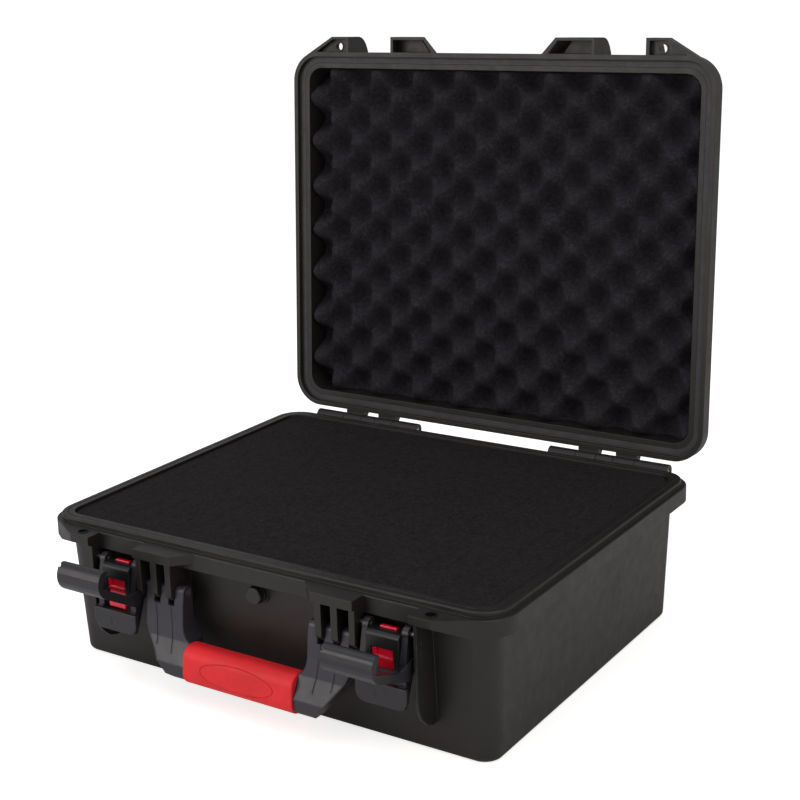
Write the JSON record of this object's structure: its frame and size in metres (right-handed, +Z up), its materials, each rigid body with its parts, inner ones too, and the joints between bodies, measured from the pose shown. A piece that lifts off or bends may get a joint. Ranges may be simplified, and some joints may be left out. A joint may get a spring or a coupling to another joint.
{
  "type": "hard equipment case",
  "caption": "Hard plastic equipment case standing open, with hinged lid, foam lining, folding carry handle, throw latches, padlock lugs and a purge valve.",
  "frame": {"origin": "centre of the base's resting face", "axes": "+X to the right seen from the front, +Y towards the hinge, +Z up; the handle and latches are on the -Y side"},
  "size_m": [0.465, 0.5161, 0.528],
  "materials": {
    "case_plastic": "fine-textured injection-moulded polypropylene",
    "handle_plastic": "smooth dark grey glass-filled nylon",
    "latch_grey": "smooth dark grey glass-filled nylon",
    "latch_black": "smooth black nylon",
    "grip_red": "soft red overmoulded elastomer",
    "slider_red": "glossy translucent red polycarbonate",
    "foam_flat": "open-cell charcoal polyurethane foam, pre-cut into cubes",
    "foam_eggcrate": "open-cell charcoal polyurethane foam, convoluted",
    "seal_rubber": "dark grey silicone gasket",
    "steel_pin": "drawn stainless steel",
    "steel_blackened": "pressed steel with a black finish",
    "spring_steel": "oiled spring steel wire",
    "valve_plastic": "satin black ABS",
    "membrane": "expanded PTFE sheet"
  },
  "bodies": {
    "base": {"base_shell": "case_plastic", "padlock_eyelets_base": "steel_blackened", "foam_floor_pad": "foam_flat", "foam_pluck_lower": "foam_flat", "foam_pluck_upper": "foam_flat", "hinge_pin_left": "steel_pin", "hinge_pin_right": "steel_pin", "handle_pin_left": "steel_pin", "handle_pin_right": "steel_pin", "valve_body": "valve_plastic", "valve_seal": "seal_rubber", "valve_nut": "valve_plastic", "valve_membrane": "membrane", "latch_frame_left": "latch_black", "latch_frame_right": "latch_black", "latch_lever_pins_left": "steel_pin", "latch_lever_pins_right": "steel_pin", "latch_spring_left": "spring_steel", "latch_spring_right": "spring_steel"},
    "lid": {"lid_shell": "case_plastic", "lid_seal": "seal_rubber", "lid_foam": "foam_eggcrate", "padlock_eyelets_lid": "steel_blackened"},
    "handle": {"handle_frame": "handle_plastic", "handle_grip": "grip_red"},
    "knob": {"valve_knob": "valve_plastic"},
    "lever_left": {"latch_lever_left": "latch_grey", "latch_hook_pins_left": "steel_pin"},
    "hook_left": {"latch_hook_left": "latch_grey"},
    "slider_left": {"latch_slider_left": "slider_red"},
    "lever_right": {"latch_lever_right": "latch_grey", "latch_hook_pins_right": "steel_pin"},
    "hook_right": {"latch_hook_right": "latch_grey"},
    "slider_right": {"latch_slider_right": "slider_red"}
  },
  "joints": [
    {"name": "lid_hinge", "type": "hinge", "parent": "base", "child": "lid", "pos_m": [0, 0.1978, 0.1275], "axis": [1, 0, 0], "range_deg": [0, 93.14]},
    {"name": "handle_hinge", "type": "hinge", "parent": "base", "child": "handle", "pos_m": [0, -0.1905, 0.094], "axis": [-1, 0, 0], "range_deg": [0, 95]},
    {"name": "valve_turn", "type": "hinge", "parent": "base", "child": "knob", "pos_m": [0, -0.1784, 0.1018], "axis": [0, -1, 0], "range_deg": [0, 180]},
    {"name": "latch_lever_left_pull", "type": "hinge", "parent": "base", "child": "lever_left", "pos_m": [-0.137, -0.19, 0.107], "axis": [1, 0, 0], "range_deg": [-55, 0]},
    {"name": "latch_hook_left_swing", "type": "hinge", "parent": "lever_left", "child": "hook_left", "pos_m": [-0.137, -0.1915, 0.0835], "axis": [-1, 0, 0], "range_deg": [-30, 59.6]},
    {"name": "latch_slider_left_press", "type": "slide", "parent": "base", "child": "slider_left", "axis": [0, 0, -1], "range_m": [0, 0.003], "stiffness_N_per_m": 500, "springref_m": -0.002, "deforming": ["latch_spring_left"]},
    {"name": "latch_lever_right_pull", "type": "hinge", "parent": "base", "child": "lever_right", "pos_m": [0.137, -0.19, 0.107], "axis": [1, 0, 0], "range_deg": [-55, 0]},
    {"name": "latch_hook_right_swing", "type": "hinge", "parent": "lever_right", "child": "hook_right", "pos_m": [0.137, -0.1915, 0.0835], "axis": [-1, 0, 0], "range_deg": [-19.5, 70.1]},
    {"name": "latch_slider_right_press", "type": "slide", "parent": "base", "child": "slider_right", "axis": [0, 0, -1], "range_m": [0, 0.003], "stiffness_N_per_m": 500, "springref_m": -0.002, "deforming": ["latch_spring_right"]}
  ]
}
